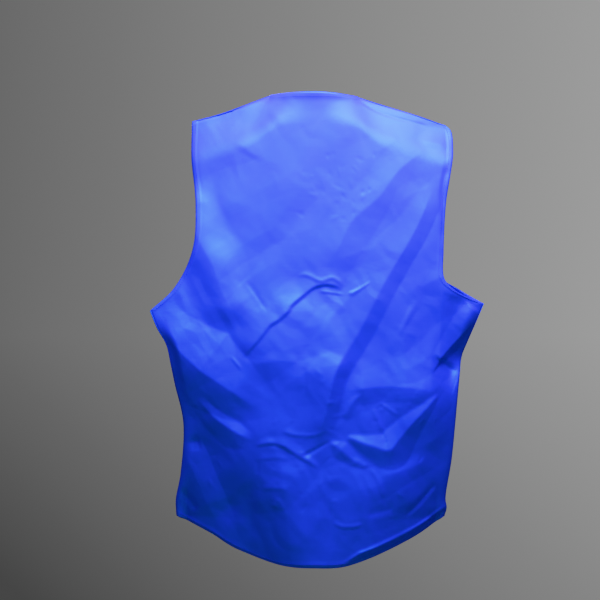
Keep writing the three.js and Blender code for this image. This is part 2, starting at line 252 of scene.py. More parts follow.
for name, left, right, upper, lower, height in (
    ("drag", [(214, -318), (150, -352), (70, -380)], [(-212, -312), (-150, -348), (-72, -372)], 30, 26, 4),
    ("waist", [(190, -430), (120, -452), (40, -470)], [(-186, -424), (-122, -446), (-42, -476)], 26, 24, 3.5),
    ("chest", [(150, -180), (112, -250), (60, -310)], [(-152, -176), (-110, -256), (-62, -316)], 26, 24, 3.5),
    ("hip", [(186, -520), (150, -580), (110, -626)], [(-176, -530), (-146, -586), (-104, -628)], 26, 22, 3.5),
):
    FRONT_FOLDS["left"].append(Fold(name, left, upper, lower, height, FRONT_SHARP))
    FRONT_FOLDS["right"].append(Fold(name, right, upper, lower, height, FRONT_SHARP))

# Folds fade out at the seams, on the back only below the armholes
SEAM_FADE = 18
FADE_BELOW = (262, 298)

# Small unevenness, each kind from its own seed: soft waves, flat facets that grow towards the lower back,
# and short creases scattered about a middle
Waves = namedtuple("Waves", "height length seed")
BACK_WAVES = Waves(0.5, 85, 11)
FRONT_WAVES = {"left": Waves(0.5, 80, 31), "right": Waves(0.5, 80, 32)}
WAVE_COUNT = 14
WAVE_SIZES = (0.7, 1.6)
Facets = namedtuple("Facets", "upper lower size stretch lean seed")
BACK_FACETS = [Facets(0.25, 0.58, 26, 1.6, -1.0, 47), Facets(0.12, 0.28, 12, 1.5, 0.5, 43)]
FACETS_GROW = (180, 320)
FACET_WANDER = 0.2
FACET_WANDER_LENGTH = 5
Creases = namedtuple("Creases", "middle spread lean count height seed")
BACK_CREASES = [
    Creases((-25, -135), (34, 30), 0.8, 34, 0.45, 21),
    Creases((-60, -470), (60, 40), -0.4, 30, 0.7, 22),
    Creases((20, -560), (70, 40), 0.2, 32, 0.6, 23),
]
CREASE_LEAN = 0.6
CREASE_HALF = (3, 11)
CREASE_WIDTH = (2.5, 5)
CREASE_RISE = (0.4, 1.0)
CREASE_SHARP = 0.9
CREASE_TAPER = 0.5

# How far the tail hangs in below the hips: where it starts, its slope and the stretch it grows over
TailSwing = namedtuple("TailSwing", "start slope near far")
TAIL_SWING = {"left": TailSwing(495, 0.23, 10, 100), "right": TailSwing(525, 0.13, 70, 130)}
TAIL_BEND = 70

# Turned hem: its height from left to right and where that grows, its slope and the ridge above it
HEM_TURN_HEIGHT = (4, 13)
HEM_TURN_GROWS = (28, 62)
HEM_TURN_SLOPE = 0.62
HEM_RIDGE = 2.6
HEM_RIDGE_WIDE = 5

# Pressed edges and seams
EDGE_BAND = 8.0
EDGE_LIFT = 0.35
LIFT_BLEND = 0.8
SEAM_DIP = 1.2
SEAM_WIDTH = 4.0
SEAM_GAP = 0.3

# Thickness of the cloth, plain and at turned edges, and the shares of it left in a seam and round the rim
CLOTH = 1.2
EDGE_CLOTH = 1.8
THICK_BLEND = 1.5
SEAM_THIN = 0.2
RIM_ROUND = 0.4

# Pieced front: patch sizes and the groove of their seams
PATCH_WIDE = 62
PATCH_TALL = 74
PATCH_SEAM_WIDTH = 2.6
PATCH_SEAM_DEPTH = 0.9
GROOVE_FADE = 2

# Stitching
STITCH_INSET = 6.0
STITCH_PITCH = 3.4
STITCH_LENGTH = 2.3
STITCH_THICK = 0.34
STITCH_SIDES = 6
STITCH_PROFILE = [(-0.5, 0.25), (-0.38, 0.85), (0.0, 1.0), (0.38, 0.85), (0.5, 0.25)]
STITCH_FLAT = 0.8
STITCH_SIT = 0.35
CLEAR_AT_TOP = 2
CLEAR_AT_HEM = 3

# Buttons on the centre front
BUTTON_HEIGHTS = [-325, -400, -475, -550]
BUTTON_SIDES = 48
BUTTON_PROFILE = [
    (0, 0), (2.4, 0), (2.6, 0.2), (2.6, 1.3), (2.9, 1.5), (7.4, 1.5), (8.4, 1.8), (8.9, 2.3), (9.0, 2.8),
    (8.8, 3.3), (8.3, 3.7), (7.6, 3.9), (6.9, 3.9), (6.4, 3.7), (6.0, 3.5), (5.4, 3.5), (3.6, 3.7), (0, 3.9),
]

# Satin: its tones, its weave, and what the mottling, slubs and patches change; pairs scale and shift a value
SATIN_DEEP = (0.046, 0.063, 0.82, 1)
SATIN_BRIGHT = (0.056, 0.076, 0.97, 1)
SATIN_SHEEN = (0.06, 0.96, 1.0, 1)
SATIN_SURFACE = {
    "IOR": 1.6, "Specular IOR Level": 1.0, "Specular Tint": SATIN_SHEEN,
    "Sheen Weight": 0.01, "Sheen Roughness": 0.4, "Sheen Tint": SATIN_SHEEN,
}
SATIN_ROUGH = (0.12, 0.36)
THREAD_WIDE = 0.0005
WEFT_RATE = 0.31
WARP_HEIGHT = 0.6
WEFT_HEIGHT = 0.25
SLUB_HEIGHT = 1.5
WEAVE_BUMP = {"Strength": 0.12, "Distance": 0.0001}
MOTTLE_SHARE = 0.7
SLUB_SHARE = 0.3
SLUB_STRETCH = (18.0, 620.0, 1.0)
PATCH_SHIFT = (0.9, -0.45)
PATCH_ROUGH = 0.1

# Colour sockets of a mix node
MIX_A, MIX_B, MIX_RESULT = 6, 7, 2

# Noises, each a scale and a detail
MOTTLE_NOISE = (22.0, 3.0)
SLUB_NOISE = (1.0, 2.0)
TWIST_NOISE = (1800.0, 2.0)
CLOUD_NOISE = (240.0, 4.0)
HAZE_NOISE = (900.0, 3.0)

# Thread and buttons
THREAD_ROUGH = (0.2, 0.35)
BUTTON_DARK = (0.004, 0.010, 0.10, 1)
BUTTON_LIGHT = (0.016, 0.036, 0.26, 1)
BUTTON_ROUGH = (0.16, 0.16)
BUTTON_COAT = 0.4

# Floor, lights, grey surroundings and camera, in metres
FLOOR_LEVEL = -1.45
FLOOR_HALF = 4.0
FLOOR_SURFACE = {"Base Color": (0.54, 0.54, 0.535, 1), "Roughness": 0.9}
Light = namedtuple("Light", "name place target size power")
LIGHTS = [
    Light("key", (-0.12, 0.70, 0.60), (0.0, 0.05, -0.3), (1.2, 0.6), 30),
    Light("front", (0.7, -2.2, 0.9), (0.0, 0.0, -0.3), (1.6, 1.6), 40),
]
GREY_MIDDLE = 0.275
GREY_RANGE = (0.10, 0.38)
GREY_SIDEWAYS = -0.55
GREY_BELOW = 0.6
HORIZON = 0.02
DARK_BEHIND = {"From Min": -0.85, "From Max": -0.3}
DARK_GREY = (0.11, 0.11, 0.11, 1)
CAMERA_AWAY = 2.5
CAMERA_X = 0.0261
CAMERA_Z = -0.293
FRAME_WIDE = 0.87
SENSOR_WIDE = 36


def blend(a, b, share):
    return a + (b - a) * share


# Smooth step from 0 to 1 between two values
def ramp(value, low, high):
    t = np.clip((value - low) / (high - low), 0, 1)
    return t * t * (3 - 2 * t)


# On the way from one point to another, which are reached at two times
def between(t, start, end, p, q):
    return (end - t) / (end - start) * p + (t - start) / (end - start) * q


# Smooth line through rows of x, y, z, spaced by the square root of their distances
def smooth_line(rows, steps=SPAN_STEPS):
    points = np.array(rows, float)
    ends = np.vstack([2 * points[0] - points[1], points, 2 * points[-1] - points[-2]])
    spans = []
    for k in range(len(points) - 1):
        p0, p1, p2, p3 = ends[k:k + 4]
        t1 = math.sqrt(norm(p1 - p0))
        t2 = t1 + math.sqrt(norm(p2 - p1))
        t3 = t2 + math.sqrt(norm(p3 - p2))
        t = np.linspace(t1, t2, steps, endpoint=False)[:, None]
        a1 = between(t, 0, t1, p0, p1)
        a2 = between(t, t1, t2, p1, p2)
        a3 = between(t, t2, t3, p2, p3)
        b1 = between(t, 0, t2, a1, a2)
        b2 = between(t, t1, t3, a2, a3)
        spans.append(between(t, t1, t2, b1, b2))
    return np.vstack(spans + [points[-1:]])


# Lines joined end to end
def joined(*lines):
    return np.vstack([lines[0]] + [line[1:] for line in lines[1:]])


# Lengths along a line up to each of its points
def run_lengths(line):
    return np.concatenate([[0], np.cumsum(norm(np.diff(line, axis=0), axis=1))])


# Rows of a line at given lengths along it
def rows_at(line, lengths, at):
    return np.stack([np.interp(at, lengths, line[:, k]) for k in range(3)], -1)


# Points along a line at given shares of its length
def along_line(line, shares):
    lengths = run_lengths(line)
    return rows_at(line, lengths, shares * lengths[-1])


def even_steps(rows, count):
    return along_line(smooth_line(rows), np.linspace(0, 1, count + 1))


# Steps drawn in towards the two ends, where the cloth turns away
def drawn_in_steps(rows, count):
    t = np.linspace(0, 1, count + 1)
    return along_line(smooth_line(rows), t - DRAWN_IN * np.sin(2 * np.pi * t) / (2 * np.pi))


# Line turned so that one coordinate rises along it
def rising(line, axis):
    return line if line[-1, axis] > line[0, axis] else line[::-1]


# Where a line passes given values of one coordinate
def crossing(line, axis, values):
    order = rising(line, axis)
    return [np.interp(values, order[:, axis], order[:, k]) for k in range(3)]


# Smooth values of a section column at given heights
def column_at(sections, name, heights):
    z = np.array([row.z for row in sections], float)
    value = np.array([getattr(row, name) for row in sections], float)
    slope = np.empty_like(value)
    slope[1:-1] = (value[2:] - value[:-2]) / (z[2:] - z[:-2])
    slope[0] = (value[1] - value[0]) / (z[1] - z[0])
    slope[-1] = (value[-1] - value[-2]) / (z[-1] - z[-2])
    at = np.clip(heights, z[-1], z[0])
    i = np.clip(np.searchsorted(-z, -at, side="right") - 1, 0, len(z) - 2)
    span = z[i + 1] - z[i]
    t = (at - z[i]) / span
    ends = value[i] + (value[i + 1] - value[i]) * t * t * (3 - 2 * t)
    return ends + span * (slope[i] * t * (1 - t) ** 2 - slope[i + 1] * t * t * (1 - t))


# Lines that the surfaces are measured against
SIDE_LINE = {side: smooth_line(rows) for side, rows in SIDE_SEAM.items()}
SHOULDER_LINE = {side: smooth_line(rows) for side, rows in SHOULDER.items()}
BACK_TOP = joined(SHOULDER_LINE["right"][::-1], smooth_line(BACK_NECK), SHOULDER_LINE["left"])
BACK_HEM_LINE = smooth_line(BACK_HEM)


# Line smoothed along one coordinate, with its two ends kept
def softened(line, axis, width):
    order = rising(line, axis)
    at = np.linspace(order[0, axis], order[-1, axis], SOFT_STEPS)
    step = at[1] - at[0]
    reach = int(SOFT_REACH * width / step)
    weights = np.exp(-0.5 * (np.arange(-reach, reach + 1) * step / width) ** 2)
    weights /= weights.sum()
    columns = []
    for k in range(3):
        values = np.interp(at, order[:, axis], order[:, k])
        before = 2 * values[0] - values[reach:0:-1]
        after = 2 * values[-1] - values[-2:-reach - 2:-1]
        columns.append(np.convolve(np.concatenate([before, values, after]), weights, "valid"))
    return np.stack(columns, -1)


# Outer edges of a panel, as they are and with their corners softened
def panel_edges(armhole):
    edges = {side: joined(smooth_line(armhole[side]), SIDE_LINE[side]) for side in SIDE_LINE}
    return edges, {side: softened(line, Z, EDGE_SOFT) for side, line in edges.items()}


# Edge of a panel at given places, from the side they lie on; its corners fade out away from it
def edge_at(edges, x, z):
    sides = [(crossing(lines["left"], Z, z), crossing(lines["right"], Z, z)) for lines in edges]
    exact, soft = [[np.where(x > 0, a, b) for a, b in zip(left, right)] for left, right in sides]
    near = ramp(np.abs(x / exact[X]), *EDGE_EXACT)
    return [blend(a, b, near) for a, b in zip(soft, exact)]


BACK_EDGES = panel_edges(BACK_ARMHOLE)
FRONT_EDGES = panel_edges(FRONT_ARMHOLE)
SOFT_BACK_TOP = softened(BACK_TOP, X, TOP_SOFT)


def section_depth(sections, edge, x, z):
    reach = np.minimum(np.abs(x / edge[X]), 1)
    swell = np.maximum(np.cos(reach * np.pi / 2), 0) ** column_at(sections, "fullness", z)
    return blend(edge[Y], column_at(sections, "depth", z), swell)


# Slope from the shoulder seam down to the back, from 0 to 1, with a short bend at its foot
def shoulder_slope(drop, x):
    roll = blend(*BACK_ROLL, ramp(np.abs(x), *BACK_ROLL_GROWS))
    t = np.clip(drop / roll, 0, 1 + ROLL_BEND)
    return np.where(t < 1 - ROLL_BEND, t, 1 - (1 + ROLL_BEND - t) ** 2 / (4 * ROLL_BEND))


# Rounding over the front of the shoulder, from 0 to 1
def shoulder_roll(drop, height, power):
    t = np.clip(drop / height, 0, 1)
    return (1 - (1 - t) ** 2) ** power


# Height of one fold over the cloth
def fold_height(fold, x, z):
    path = smooth_line([(px, 0, pz) for px, pz in fold.path], FOLD_STEPS)[:, [X, Z]]
    reach = max(fold.upper, fold.lower) * max(fold.narrow, 1)
    low = path.min(axis=0) - reach
    high = path.max(axis=0) + reach
    inside = (x > low[0]) & (x < high[0]) & (z > low[1]) & (z < high[1])
    height = np.zeros(x.shape)
    height[inside] = fold_profile(fold, path, x[inside], z[inside])
    return height


def fold_profile(fold, path, x, z):
    nearest = np.full(x.shape, np.inf)
    along = np.zeros(x.shape)
    across = np.zeros(x.shape)
    start = 0.0
    for (ax, az), (bx, bz) in zip(path, path[1:]):
        dx, dz = bx - ax, bz - az
        length = math.hypot(dx, dz)
        t = np.clip(((x - ax) * dx + (z - az) * dz) / length ** 2, 0, 1)
        ox = x - ax - t * dx
        oz = z - az - t * dz
        away = np.hypot(ox, oz)
        closer = away < nearest
        nearest = np.where(closer, away, nearest)
        along = np.where(closer, start + t * length, along)
        side = oz * dx - ox * dz if dx > 0 else ox * dz - oz * dx
        across = np.where(closer, side, across)
        start += length
    share = along / start
    before = (fold.peak - share) / max(fold.peak, LEAST_PEAK)
    after = (share - fold.peak) / (1 - fold.peak)
    from_peak = np.where(share < fold.peak, before, after)
    size = blend(1.0, fold.narrow, from_peak)
    t = np.clip(1 - nearest / (np.where(across > 0, fold.upper, fold.lower) * size), 0, 1)
    facet = np.where(across > 0, t ** fold.swell, t)
    flank = blend(t * t * (3 - 2 * t), facet, fold.sharp)
    ends = ramp(np.minimum(share, 1 - share), 0, fold.taper)
    return fold.height * size * ends * flank


# Gentle unevenness of hanging cloth: waves of many directions
def soft_waves(x, z, wavelength, seed):
    rng = np.random.default_rng(seed)
    total = np.zeros(x.shape)
    for _ in range(WAVE_COUNT):
        angle = rng.uniform(0, math.pi)
        size = wavelength * rng.uniform(*WAVE_SIZES)
        phase = rng.uniform(0, 2 * math.pi)
        total += np.sin((x * math.cos(angle) + z * math.sin(angle)) * 2 * math.pi / size + phase)
    return total / math.sqrt(WAVE_COUNT / 2)


# Crumple of crisp cloth: flat facets between places pushed a little in or out
def facets(x, z, kind):
    lean, size, seed = kind.lean, kind.size, kind.seed
    aside, along = [FACET_WANDER * soft_waves(x, z, FACET_WANDER_LENGTH * size, seed + k) for k in range(2)]
    u = (x * math.cos(lean) + z * math.sin(lean)) / (size * kind.stretch) + aside
    v = (z * math.cos(lean) - x * math.sin(lean)) / size + along
    i = np.floor(u).astype(int)
    j = np.floor(v).astype(int)
    f = u - i
    g = v - j
    i = i - i.min()
    j = j - j.min()
    push = np.random.default_rng(seed).normal(size=(i.max() + 2, j.max() + 2))
    here, far = push[i, j], push[i + 1, j + 1]
    beside, above = push[i + 1, j], push[i, j + 1]
    first = here + f * (beside - here) + g * (far - beside)
    second = here + g * (above - here) + f * (far - above)
    return np.where(f > g, first, second)


# Short pressed-in creases, scattered over a stretch of cloth
def short_creases(x, z, group):
    rng = np.random.default_rng(group.seed)
    total = np.zeros(x.shape)
    for _ in range(group.count):
        cx = group.middle[0] + rng.normal() * group.spread[0]
        cz = group.middle[1] + rng.normal() * group.spread[1]
        angle = group.lean + rng.normal() * CREASE_LEAN
        half = rng.uniform(*CREASE_HALF)
        reach = (math.cos(angle) * half, math.sin(angle) * half)
        width = rng.uniform(*CREASE_WIDTH)
        rise = group.height * rng.uniform(*CREASE_RISE) * rng.choice([-1, 1])
        path = [(cx - reach[0], cz - reach[1]), (cx + reach[0], cz + reach[1])]
        crease = Fold("crease", path, width, width, rise, CREASE_SHARP, taper=CREASE_TAPER)
        total += fold_height(crease, x, z)
    return total


def back_folds(x, z):
    total = sum(fold_height(fold, x, z) for fold in BACK_FOLDS)
    total += BACK_WAVES.height * soft_waves(x, z, BACK_WAVES.length, BACK_WAVES.seed)
    lower = ramp(-z, *FACETS_GROW)
    for kind in BACK_FACETS:
        total += blend(kind.upper, kind.lower, lower) * facets(x, z, kind)
    for group in BACK_CREASES:
        total += short_creases(x, z, group)
    return total


def tail_swing(x, z):
    sides = []
    for swing in (TAIL_SWING["left"], TAIL_SWING["right"]):
        below = np.maximum(-z - swing.start, 0)
        eased = np.where(below < TAIL_BEND, below ** 2 / (2 * TAIL_BEND), below - TAIL_BEND / 2)
        sides.append(swing.slope * eased * ramp(np.abs(x), swing.near, swing.far))
    return np.where(x > 0, *sides)


# The hem curls in under a small ridge, most on the right
def hem_turn(x, z):
    share = ramp(-x, *HEM_TURN_GROWS)
    height = blend(*HEM_TURN_HEIGHT, share)
    up = z - crossing(BACK_HEM_LINE, X, x)[Z]
    ridge = HEM_RIDGE * share * np.clip(1 - np.abs(up - height) / HEM_RIDGE_WIDE, 0, 1)
    return HEM_TURN_SLOPE * height * np.clip(1 - up / height, 0, 1) - ridge


def back_depth(x, z):
    edge = edge_at(BACK_EDGES, x, z)
    top = crossing(BACK_TOP, X, x)
    near = 1 - ramp(top[Z] - z, 0, TOP_EXACT)
    top = [blend(a, b, near) for a, b in zip(crossing(SOFT_BACK_TOP, X, x), top)]
    plain = blend(top[Y], section_depth(BACK_SECTIONS, edge, x, z), shoulder_slope(top[Z] - z, x))
    near_seam = 1 - ramp(np.abs(edge[X]) - np.abs(x), 0, SEAM_FADE)
    fade = 1 - near_seam * ramp(-z, *FADE_BELOW)
    return plain + fade * (back_folds(x, z) - tail_swing(x, z) - hem_turn(x, z))


def front_depth(side, x, z):
    edge = edge_at(FRONT_EDGES, x, z)
    neck = SHOULDER[side][0][X]
    outer = np.maximum(x, neck) if side == "left" else np.minimum(x, neck)
    top = crossing(SHOULDER_LINE[side], X, outer)
    drop = top[Z] + NECK_RISE * np.abs(outer - x) - z
    plain = blend(top[Y], section_depth(FRONT_SECTIONS, edge, x, z), shoulder_roll(drop, *FRONT_ROLL))
    fade = ramp(np.abs(edge[X]) - np.abs(x), 0, SEAM_FADE) * ramp(np.abs(x), LAP_FROM, LAP_FROM + LAP_OVER)
    folds = sum(fold_height(fold, x, z) for fold in FRONT_FOLDS[side])
    waves = FRONT_WAVES[side]
    folds += waves.height * soft_waves(x, z, waves.length, waves.seed)
    if side == "right":
        plain = plain + LAP_STEP * ramp(x, -LAP_FROM - LAP_OVER, -LAP_FROM)
    return plain - fade * folds


# Grid of a panel as seen flat on, filled in from its four edges
def flat_grid(first, last, top, bottom):
    v = np.linspace(0, 1, len(first))[:, None, None]
    s = np.linspace(0, 1, len(top))[None, :, None]
    across = blend(first[:, None], last[:, None], s)
    down = blend(top[None], bottom[None], v)
    corners = blend(blend(top[0], top[-1], s), blend(bottom[0], bottom[-1], s), v)
    grid = across + down - corners
    return grid[..., X], grid[..., Z]


def outer_edge(armhole, side):
    return joined(even_steps(armhole[side], ARMHOLE_CELLS), even_steps(SIDE_SEAM[side], SIDE_CELLS))


# Outward normals of a grid of points
def grid_normals(points, facing):
    normal = np.cross(np.gradient(points, axis=1), np.gradient(points, axis=0))
    normal /= np.maximum(norm(normal, axis=-1, keepdims=True), TINY)
    middle = normal[normal.shape[0] // 2, normal.shape[1] // 2, Y]
    return normal if middle * facing > 0 else -normal


# Distances along the cloth from each of the four edges of a grid
def edge_distances(points):
    across = norm(np.diff(points, axis=1), axis=-1)
    down = norm(np.diff(points, axis=0), axis=-1)
    rows, columns = points.shape[:2]
    from_first = np.concatenate([np.zeros((rows, 1)), np.cumsum(across, 1)], 1)
    from_top = np.concatenate([np.zeros((1, columns)), np.cumsum(down, 0)], 0)
    return {
        "first": from_first, "last": from_first[:, -1:] - from_first,
        "top": from_top, "bottom": from_top[-1:] - from_top,
    }


Panel = namedtuple("Panel", "points normals distances free sewn")


# Distance from the nearest of some edges, each only where it counts
def nearest_edge(distances, edges):
    far = np.full(distances["first"].shape, FAR)
    nearest = far
    for edge, mask in edges:
        nearest = np.minimum(nearest, np.where(mask, distances[edge], far))
    return nearest


# Presses the seams in, lifts the turned edges and gives the finished outer face of a panel
def finish_panel(points, facing, free_edges, sewn_edges):
    normals = grid_normals(points, facing)
    distances = edge_distances(points)
    free = nearest_edge(distances, free_edges)
    sewn = nearest_edge(distances, sewn_edges)
    lift = EDGE_LIFT * ramp(free, EDGE_BAND + LIFT_BLEND, EDGE_BAND - LIFT_BLEND)
    dip = SEAM_DIP * (1 - ramp(sewn, 0, SEAM_WIDTH))
    points = points + normals * (lift - dip)[..., None]
    return Panel(points, grid_normals(points, facing), distances, free, sewn)


# Points round the border of a grid in order, or the points next to them inside it
def border(index, inset=0):
    far = -1 - inset
    return np.concatenate([index[inset, :-1], index[:-1, far], index[far, :0:-1], index[:0:-1, inset]])


def grid_quads(index):
    return np.stack([index[:-1, :-1], index[:-1, 1:], index[1:, 1:], index[1:, :-1]], -1).reshape(-1, 4)


# Closed cloth mesh from the outer face of a panel, with rounded edges; its inner face is half as fine
def cloth_object(name, panel, facing):
    thick = blend(CLOTH, EDGE_CLOTH, ramp(panel.free, EDGE_BAND + THICK_BLEND, EDGE_BAND - THICK_BLEND))
    thick = thick * blend(SEAM_THIN, 1.0, ramp(panel.sewn, 0, SEAM_WIDTH))
    outer = panel.points
    behind = outer - panel.normals * thick[..., None]
    inner = behind[::2, ::2]
    index = np.arange(outer.shape[0] * outer.shape[1]).reshape(outer.shape[:2])
    inner_index = index.size + np.arange(inner.shape[0] * inner.shape[1]).reshape(inner.shape[:2])
    loop = border(index)
    inner_loop = border(inner_index)
    flat_outer = outer.reshape(-1, 3)
    outward = flat_outer[loop] - flat_outer[border(index, 1)]
    outward /= np.maximum(norm(outward, axis=1, keepdims=True), TINY)
    rim_round = RIM_ROUND * thick.reshape(-1)[loop][:, None]
    rim = (flat_outer[loop] + behind.reshape(-1, 3)[loop]) / 2 + outward * rim_round
    rim_index = index.size + inner_index.size + np.arange(len(loop))
    after = np.roll(rim_index, -1)
    quads = grid_quads(index)
    rim_outer = np.stack([np.roll(loop, -1), loop, rim_index, after], -1)
    rim_inner = np.stack(
        [np.roll(rim_index, -2)[::2], after[::2], rim_index[::2], inner_loop, np.roll(inner_loop, -1)], -1
    )
    faces = [quads, grid_quads(inner_index)[:, ::-1], rim_outer, rim_inner]
    a, b, c = flat_outer[quads[len(quads) // 2, :3]]
    if np.cross(b - a, c - a)[Y] * facing < 0:
        faces = [kind[:, ::-1] for kind in faces]
    across = panel.distances["first"] - panel.distances["first"][:, -1:] / 2
    uv = np.stack([across, -panel.distances["top"]], -1)
    uv = np.vstack([uv.reshape(-1, 2), uv[::2, ::2].reshape(-1, 2), uv.reshape(-1, 2)[loop]]) * MM
    points = np.vstack([flat_outer, inner.reshape(-1, 3), rim])
    obj = mesh_object(name, points * MM, [face for kind in faces for face in kind.tolist()])
    add_uv(obj.data, "cloth", uv)
    add_uv(obj.data, "flat", points[:, [X, Z]] * MM)
    return obj


def add_uv(mesh, name, uv):
    layer = mesh.uv_layers.new(name=name)
    corner = np.empty(len(mesh.loops), np.int32)
    mesh.loops.foreach_get("vertex_index", corner)
    layer.data.foreach_set("uv", uv[corner].astype(np.float32).ravel())


def mesh_object(name, points, faces):
    mesh = bpy.data.meshes.new(name)
    mesh.from_pydata([tuple(p) for p in points], [], faces)
    mesh.polygons.foreach_set("use_smooth", [True] * len(mesh.polygons))
    mesh.update()
    obj = bpy.data.objects.new(name, mesh)
    scene.collection.objects.link(obj)
    return obj


# Quads between rings of points, each ring with the same number of sides
def ring_quads(first, rings, sides):
    quads = []
    for ring in range(rings - 1):
        for k in range(sides):
            a = first + ring * sides + k
            b = first + ring * sides + (k + 1) % sides
            quads.append((a, b, b + sides, a + sides))
    return quads


# Back panel
def back_panel():
    shoulder = {side: even_steps(SHOULDER[side], SHOULDER_CELLS) for side in SHOULDER}
    top = joined(shoulder["right"][::-1], even_steps(BACK_NECK, NECK_CELLS), shoulder["left"])
    hem = drawn_in_steps(BACK_HEM, len(top) - 1)
    x, z = flat_grid(outer_edge(BACK_ARMHOLE, "right"), outer_edge(BACK_ARMHOLE, "left"), top, hem)
    y = back_depth(x, z) + SEAM_GAP / 2
    row, column = np.indices(x.shape)
    on_shoulder = (column <= SHOULDER_CELLS) | (column >= x.shape[1] - 1 - SHOULDER_CELLS)
    armhole = row < ARMHOLE_CELLS
    everywhere = np.ones(x.shape, bool)
    free = [("first", armhole), ("last", armhole), ("top", ~on_shoulder), ("bottom", everywhere)]
    sewn = [("first", ~armhole), ("last", ~armhole), ("top", on_shoulder)]
    return finish_panel(np.stack([x, y, z], -1), OUT_BACK, free, sewn)


# Grooves of the seams between patches
def patch_grooves(x, z):
    to_upright = np.abs((x / PATCH_WIDE + 0.5) % 1 - 0.5) * PATCH_WIDE
    to_level = np.abs((z / PATCH_TALL + 0.5) % 1 - 0.5) * PATCH_TALL
    nearest = np.minimum(to_upright, to_level)
    return PATCH_SEAM_DEPTH * (1 - ramp(nearest, 0, PATCH_SEAM_WIDTH))


# One front panel; its first edge is the neck and button edge, its last the armhole and side seam
def front_panel(side):
    placket = [FRONT_NECK[side][-1], FRONT_HEM[side][0]]
    inner = joined(even_steps(FRONT_NECK[side], ARMHOLE_CELLS), even_steps(placket, SIDE_CELLS))
    top = even_steps(SHOULDER[side], FRONT_CELLS)
    hem = even_steps(FRONT_HEM[side], FRONT_CELLS)
    x, z = flat_grid(inner, outer_edge(FRONT_ARMHOLE, side), top, hem)
    y = front_depth(side, x, z) - SEAM_GAP / 2
    armhole = np.indices(x.shape)[0] < ARMHOLE_CELLS
    everywhere = np.ones(x.shape, bool)
    free = [("first", everywhere), ("last", armhole), ("bottom", everywhere)]
    sewn = [("last", ~armhole), ("top", everywhere)]
    panel = finish_panel(np.stack([x, y, z], -1), OUT_FRONT, free, sewn)
    grooves = patch_grooves(x, z) * ramp(panel.free, EDGE_BAND, EDGE_BAND + GROOVE_FADE)
    points = panel.points - panel.normals * grooves[..., None]
    return panel._replace(points=points, normals=grid_normals(points, OUT_FRONT))


# Area a panel has when laid flat: that of its outer face
def flat_area(panel):
    p = panel.points * MM
    side_a = p[1:, 1:] - p[:-1, :-1]
    side_b = p[1:, :-1] - p[:-1, 1:]
    return float(norm(np.cross(side_a, side_b), axis=-1).sum() / 2)


# Line on a panel that keeps the stitches' distance from an edge, with the cloth's normals along it
def inset_line(panel, edge, start, stop):
    distance = panel.distances[edge]
    upright = edge in ("top", "bottom")
    places = []
    normals = []
    for k in range(start, stop):
        line = (slice(None), k) if upright else (k, slice(None))
        order = np.argsort(distance[line])
        lengths = distance[line][order]
        places.append(rows_at(panel.points[line][order], lengths, STITCH_INSET))
        normals.append(rows_at(panel.normals[line][order], lengths, STITCH_INSET))
    return np.array(places), np.array(normals)


# Rows of sewn stitches along lines: short rounded threads that lie on the cloth
def stitches(name, lines):
    points = []
    faces = []
    for places, normals in lines:
        lengths = run_lengths(places)
        for at in np.arange(STITCH_PITCH, lengths[-1] - STITCH_PITCH, STITCH_PITCH):
            middle = rows_at(places, lengths, at)
            ahead = rows_at(places, lengths, at + STITCH_LENGTH / 2)
            behind = rows_at(places, lengths, at - STITCH_LENGTH / 2)
            up = rows_at(normals, lengths, at)
            run = ahead - behind
            run /= norm(run)
            aside = np.cross(up, run)
            first = len(points)
            for share, girth in STITCH_PROFILE:
                for k in range(STITCH_SIDES):
                    turn = 2 * math.pi * k / STITCH_SIDES
                    offset = aside * math.cos(turn) + up * (math.sin(turn) * STITCH_FLAT + STITCH_SIT)
                    points.append(middle + run * share * STITCH_LENGTH + offset * girth * STITCH_THICK)
            last = len(points) - STITCH_SIDES
            faces += ring_quads(first, len(STITCH_PROFILE), STITCH_SIDES)
            faces.append(tuple(first + k for k in reversed(range(STITCH_SIDES))))
            faces.append(tuple(last + k for k in range(STITCH_SIDES)))
    return mesh_object(name, np.array(points) * MM, faces)


# Place and outward direction of the left front's face on the centre line
def on_centre_front(x, z):
    at_x = x + SLOPE_STEP * np.array([0, 1, -1, 0, 0])
    at_z = z + SLOPE_STEP * np.array([0, 0, 0, 1, -1])
    here, left, right, above, below = front_depth("left", at_x, at_z)
    outward = Vector((left - right, -2 * SLOPE_STEP, above - below)).normalized()
    return Vector((x, here, z)), outward


# Domed shank button, turned about its own axis
def button(name, z):
    foot, outward = on_centre_front(0.0, z)
    turn = Vector((0, 0, 1)).rotation_difference(outward)
    points = []
    for radius, height in BUTTON_PROFILE:
        for k in range(BUTTON_SIDES):
            angle = 2 * math.pi * k / BUTTON_SIDES
            local = Vector((radius * math.cos(angle), radius * math.sin(angle), height + SEAM_GAP))
            points.append((foot + turn @ local) * MM)
    return mesh_object(name, points, ring_quads(0, len(BUTTON_PROFILE), BUTTON_SIDES))


# Gives a shader socket its value: a number, a colour or another socket
def feed(tree, socket, value):
    if isinstance(value, bpy.types.NodeSocket):
        tree.links.new(value, socket)
    else:
        socket.default_value = value


def feed_all(tree, node, values):
    for name, value in values.items():
        feed(tree, node.inputs[name], value)


def math_node(tree, operation, a, b=0.0):
    node = tree.nodes.new("ShaderNodeMath")
    node.operation = operation
    feed(tree, node.inputs[0], a)
    feed(tree, node.inputs[1], b)
    return node.outputs[0]


def times(tree, a, b):
    return math_node(tree, "MULTIPLY", a, b)


def plus(tree, a, b):
    return math_node(tree, "ADD", a, b)


# A value times one number plus another
def scaled(tree, value, factor, shift):
    socket = math_node(tree, "MULTIPLY_ADD", value, factor)
    socket.node.inputs[2].default_value = shift
    return socket


